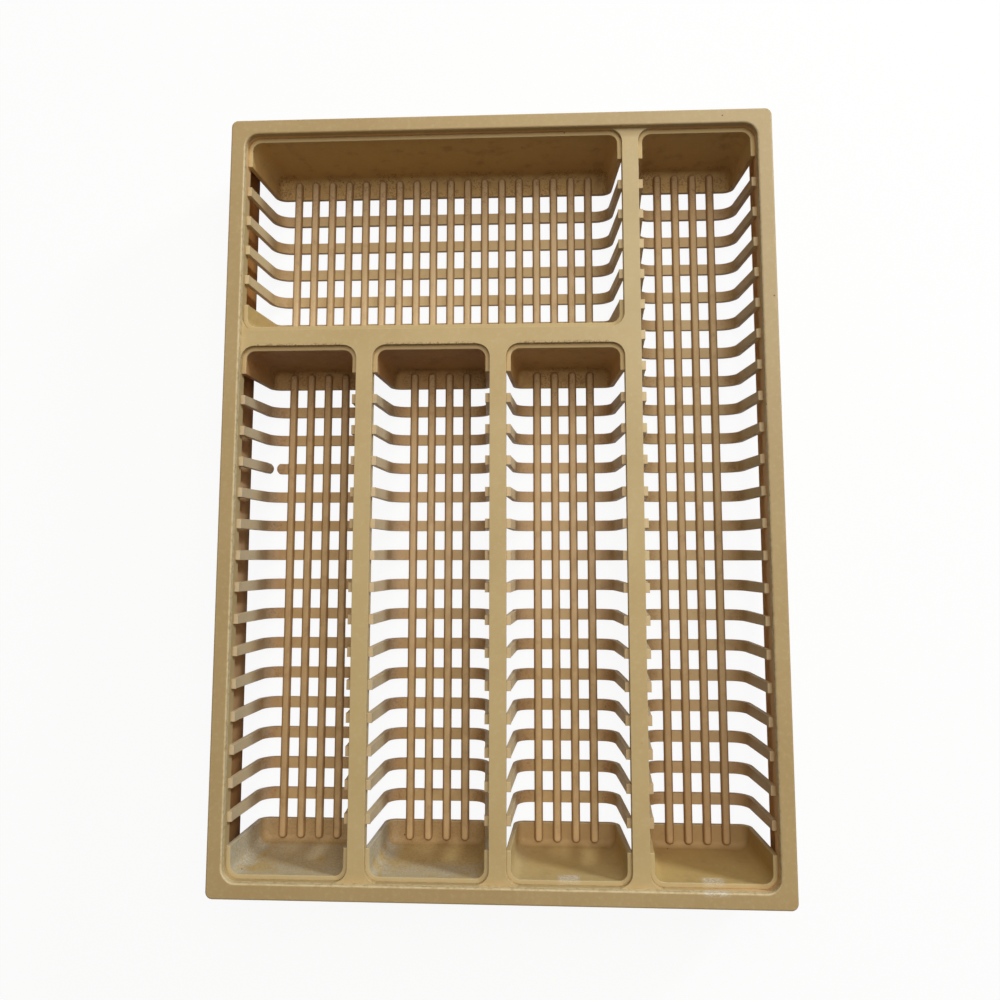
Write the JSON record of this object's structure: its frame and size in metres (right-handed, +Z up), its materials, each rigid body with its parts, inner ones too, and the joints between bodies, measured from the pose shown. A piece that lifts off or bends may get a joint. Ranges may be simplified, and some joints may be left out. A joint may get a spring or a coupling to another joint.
{
  "type": "cutlery tray",
  "caption": "Shallow rectangular cutlery tray: flat rim with a hanging skirt, dividers, and open slatted compartments with closed rounded ends, for sorting cutlery in a drawer.",
  "frame": {"origin": "on the surface that the tray stands on, under the middle of its outer plan", "axes": "+Y runs along the tray to its head, the end with the compartment that lies across; +X runs to the side of the full-length compartment; +Z is up"},
  "size_m": [0.2436, 0.34, 0.0445],
  "materials": {
    "tan_plastic": "used tan moulded plastic, satin on the rim and the dividers' tops"
  },
  "bodies": {
    "root": {"rim_head": "tan_plastic", "rim_foot": "tan_plastic", "rim_left": "tan_plastic", "rim_right": "tan_plastic", "outer_skirt": "tan_plastic", "inner_wall": "tan_plastic", "long_divider": "tan_plastic", "cross_divider": "tan_plastic", "left_divider": "tan_plastic", "middle_divider": "tan_plastic", "wide_head_scoop": "tan_plastic", "wide_foot_scoop": "tan_plastic", "wide_ribs": "tan_plastic", "wide_floor_bars": "tan_plastic", "left_head_scoop": "tan_plastic", "left_foot_scoop": "tan_plastic", "left_ribs": "tan_plastic", "left_floor_bars": "tan_plastic", "middle_head_scoop": "tan_plastic", "middle_foot_scoop": "tan_plastic", "middle_ribs": "tan_plastic", "middle_floor_bars": "tan_plastic", "right_head_scoop": "tan_plastic", "right_foot_scoop": "tan_plastic", "right_ribs": "tan_plastic", "right_floor_bars": "tan_plastic", "long_head_scoop": "tan_plastic", "long_foot_scoop": "tan_plastic", "long_ribs": "tan_plastic", "long_floor_bars": "tan_plastic"}
  },
  "joints": []
}
